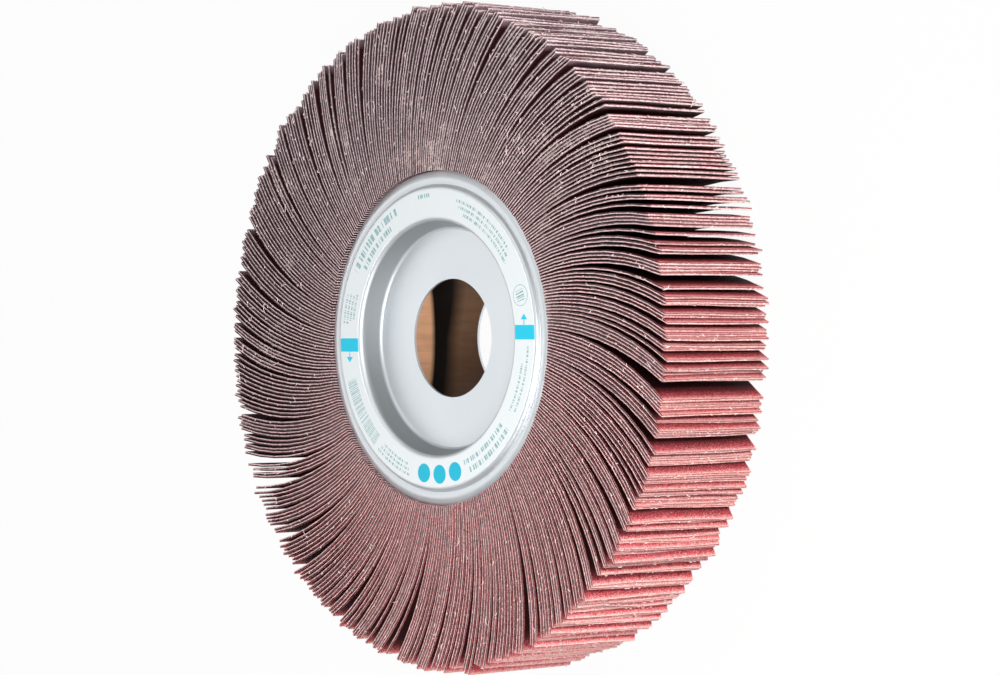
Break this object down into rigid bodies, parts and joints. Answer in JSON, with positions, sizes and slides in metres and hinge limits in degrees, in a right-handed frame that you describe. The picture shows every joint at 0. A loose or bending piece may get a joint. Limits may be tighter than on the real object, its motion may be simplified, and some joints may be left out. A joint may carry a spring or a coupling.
{
  "type": "flap wheel",
  "caption": "Round abrasive flap wheel: trailing cloth flaps bound in a resin core around a paper tube, with a dished sheet flange on each side.",
  "frame": {"origin": "centre of the bore, on the axis at mid-width", "axes": "+Z along the axis towards the labelled flange, so the wheel lies on its plain side; +Y is up in the picture, and +X is to the right for someone who faces the label"},
  "size_m": [0.246, 0.2471, 0.05],
  "materials": {
    "abrasive_cloth": "coarse grain on stiff cloth",
    "paper_tube": "satin, laminated",
    "front_sheet": "satin",
    "rear_sheet": "satin",
    "label_paper": "coated, slightly glossy"
  },
  "bodies": {
    "root": {"flap_pack": "abrasive_cloth", "core_tube": "paper_tube", "front_flange": "front_sheet", "rear_flange": "rear_sheet", "label_ring": "label_paper"}
  },
  "joints": []
}
